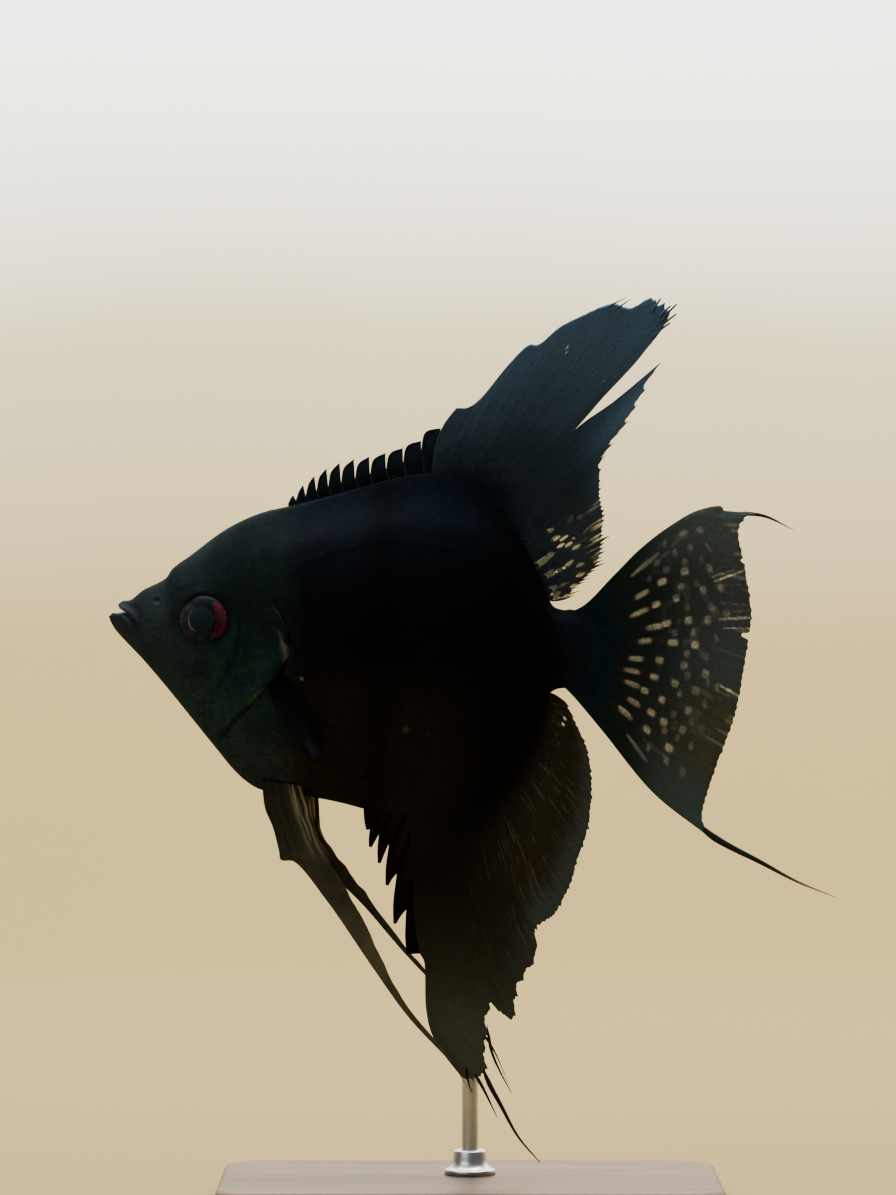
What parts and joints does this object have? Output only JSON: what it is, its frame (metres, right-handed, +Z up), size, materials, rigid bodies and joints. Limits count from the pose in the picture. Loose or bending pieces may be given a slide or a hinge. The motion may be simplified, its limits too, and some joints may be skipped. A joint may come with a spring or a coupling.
{
  "type": "freshwater angelfish model",
  "caption": "Still, life-size black freshwater angelfish with torn, trailing fins, held over a flat wooden base by a slim steel rod.",
  "frame": {"origin": "middle of the underside of the stand's base, on the surface it stands on", "axes": "+X from the fish's snout to its tail, +Y towards the fish's right flank (the fish shows its left flank to -Y), +Z up"},
  "size_m": [0.1308, 0.054, 0.1631],
  "materials": {
    "body_skin": "satin black scales with a faint teal sheen above and olive brown below",
    "fin_skin": "thin satin membrane, blue-black to brown-black, with pale clear flecks towards the tail",
    "eye": "clear gloss over a dark pupil, a thin silver ring and a red iris",
    "stand_board": "satin dark walnut",
    "stand_metal": "brushed"
  },
  "bodies": {
    "root": {"head": "body_skin", "upper_jaw": "body_skin", "lower_jaw": "body_skin", "gill_cover_left": "body_skin", "gill_cover_right": "body_skin", "trunk": "body_skin", "tail_stalk": "body_skin", "dorsal_fin_spiny": "fin_skin", "dorsal_fin_soft": "fin_skin", "anal_fin_spiny": "fin_skin", "anal_fin_soft": "fin_skin", "caudal_fin": "fin_skin", "pelvic_fin_left": "fin_skin", "pelvic_fin_right": "fin_skin", "pectoral_fin_left": "fin_skin", "pectoral_fin_right": "fin_skin", "eye_left": "eye", "eye_right": "eye", "stand_base": "stand_board", "stand_collar": "stand_metal", "stand_rod": "stand_metal"}
  },
  "joints": []
}
